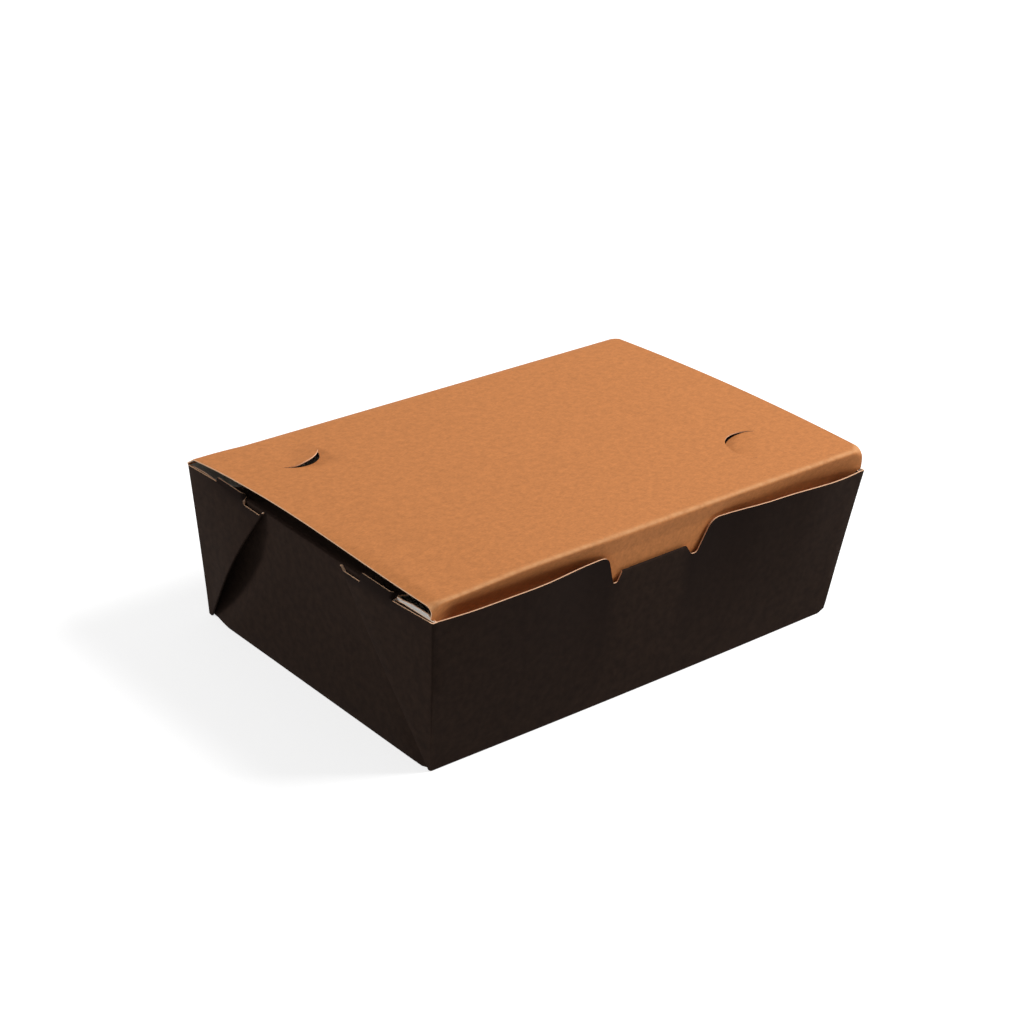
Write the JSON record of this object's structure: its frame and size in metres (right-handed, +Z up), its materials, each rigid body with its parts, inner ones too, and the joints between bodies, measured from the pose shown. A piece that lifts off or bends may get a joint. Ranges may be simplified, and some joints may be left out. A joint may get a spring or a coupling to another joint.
{
  "type": "takeaway box",
  "caption": "Folded board food box with flared walls, webbed corners, a hinged arched lid with half-moon vents, and a tuck flap behind a notched front wall.",
  "frame": {"origin": "centre of the underside of the base, on the surface the box stands on", "axes": "+X along the box's length, +Y towards the rear wall and the lid's crease, +Z up"},
  "size_m": [0.2094, 0.1407, 0.0698],
  "materials": {
    "body": "matte",
    "lid": "matte"
  },
  "bodies": {
    "body": {"body": "body"},
    "lid": {"lid": "lid"}
  },
  "joints": [
    {"name": "lid", "type": "hinge", "parent": "body", "child": "lid", "pos_m": [0, 0.0703, 0.062], "axis": [-1, 0, 0], "range_deg": [0, 180]}
  ]
}
